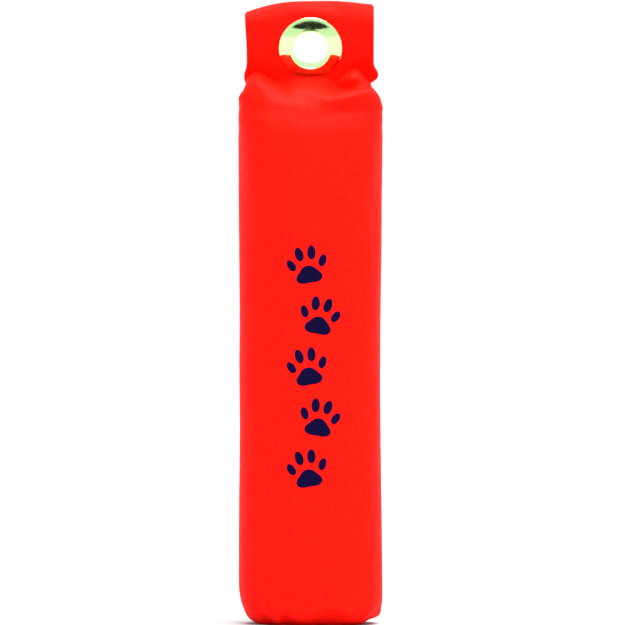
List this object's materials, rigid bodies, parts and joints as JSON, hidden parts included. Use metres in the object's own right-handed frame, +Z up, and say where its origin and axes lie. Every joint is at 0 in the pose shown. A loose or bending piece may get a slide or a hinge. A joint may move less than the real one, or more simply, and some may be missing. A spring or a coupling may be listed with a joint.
{
  "type": "training bumper",
  "caption": "Soft oblong bumper for retriever training: a stuffed fabric body with a flexible header tab that holds a metal grommet for a throw line.",
  "frame": {"origin": "middle of the flat closed end that the bumper stands on", "axes": "+Z runs up the length towards the header tab; the printed face looks along -Y and the seamed back along +Y; +X is to the right of someone facing the printed face"},
  "size_m": [0.07, 0.0532, 0.3048],
  "materials": {
    "cover_nylon": "matte",
    "foam": "matte",
    "thread": "satin",
    "print_ink": "satin",
    "grommet_metal": "polished"
  },
  "bodies": {
    "bumper_body": {"foam_core": "foam", "cover_sleeve": "cover_nylon", "cover_end": "cover_nylon", "cover_shoulder": "cover_nylon", "back_seam_lap": "cover_nylon", "back_seam_stitches": "thread", "end_seam_allowance": "cover_nylon", "end_seam_stitches": "thread", "print_paws": "print_ink", "header_fold": "cover_nylon"},
    "header": {"header_front_ply": "cover_nylon", "header_back_ply": "cover_nylon", "header_tuck_left": "cover_nylon", "header_tuck_right": "cover_nylon", "header_turn_in": "cover_nylon", "header_base_stitches": "thread", "header_hem_stitches": "thread", "grommet_eyelet": "grommet_metal", "grommet_washer": "grommet_metal"}
  },
  "joints": [
    {"name": "header_flex", "type": "hinge", "parent": "bumper_body", "child": "header", "pos_m": [0, 0, 0.26482], "axis": [1, 0, 0], "range_deg": [-20, 70], "stiffness_Nm_per_rad": 0.02}
  ]
}
